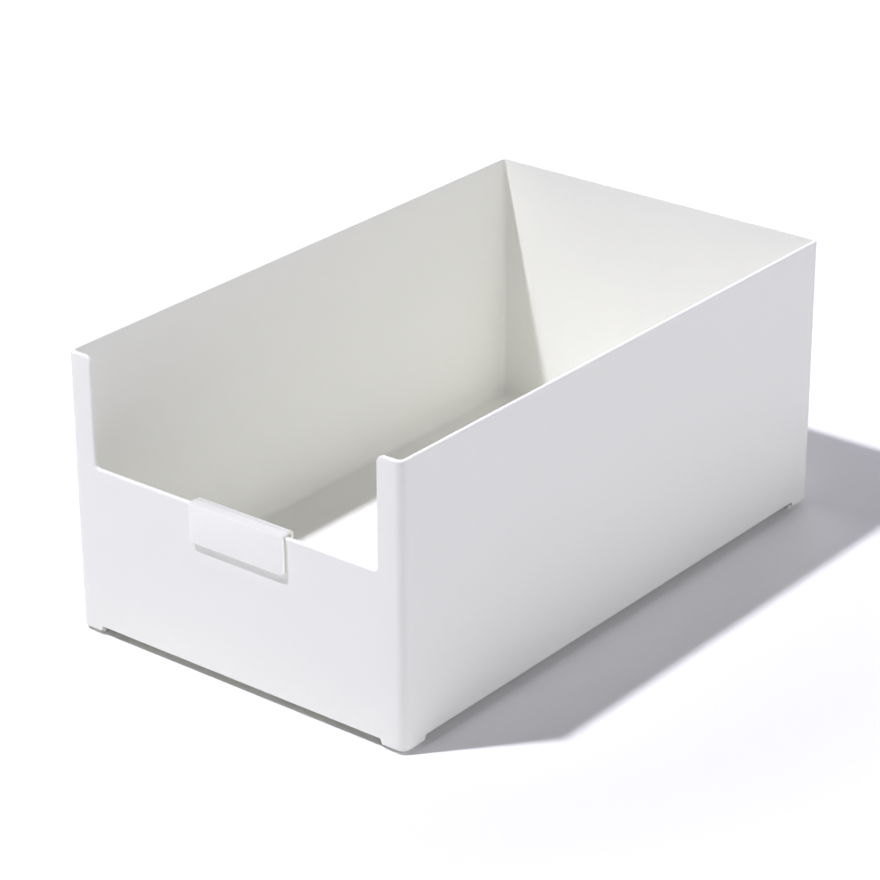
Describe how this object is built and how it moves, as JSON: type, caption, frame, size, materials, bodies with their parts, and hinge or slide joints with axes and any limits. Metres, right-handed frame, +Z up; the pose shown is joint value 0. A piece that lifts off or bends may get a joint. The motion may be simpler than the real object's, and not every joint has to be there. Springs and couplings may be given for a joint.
{
  "type": "stackable storage box",
  "caption": "Deep open-top stacking box with a low front between corner pillars, small corner feet and a clip-on label holder that slides along the front rim.",
  "frame": {"origin": "on the ground, under the middle of the box", "axes": "+X to the right as seen from the low front, +Y to the back, +Z up"},
  "size_m": [0.18, 0.3016, 0.131],
  "materials": {
    "box_plastic": "white injection-moulded polypropylene with a fine satin grain",
    "clip_plastic": "milky, slightly translucent moulded plastic with a soft sheen",
    "card_paper": "blank white uncoated card"
  },
  "bodies": {
    "box": {"box_body": "box_plastic"},
    "clip": {"label_clip": "clip_plastic"},
    "card": {"label_card": "card_paper"}
  },
  "joints": [
    {"name": "clip_slide", "type": "slide", "parent": "box", "child": "clip", "axis": [1, 0, 0], "range_m": [-0.0533, 0.0467]},
    {"name": "card_slide", "type": "slide", "parent": "clip", "child": "card", "axis": [1, 0, 0], "range_m": [-0.04, 0.04]}
  ]
}
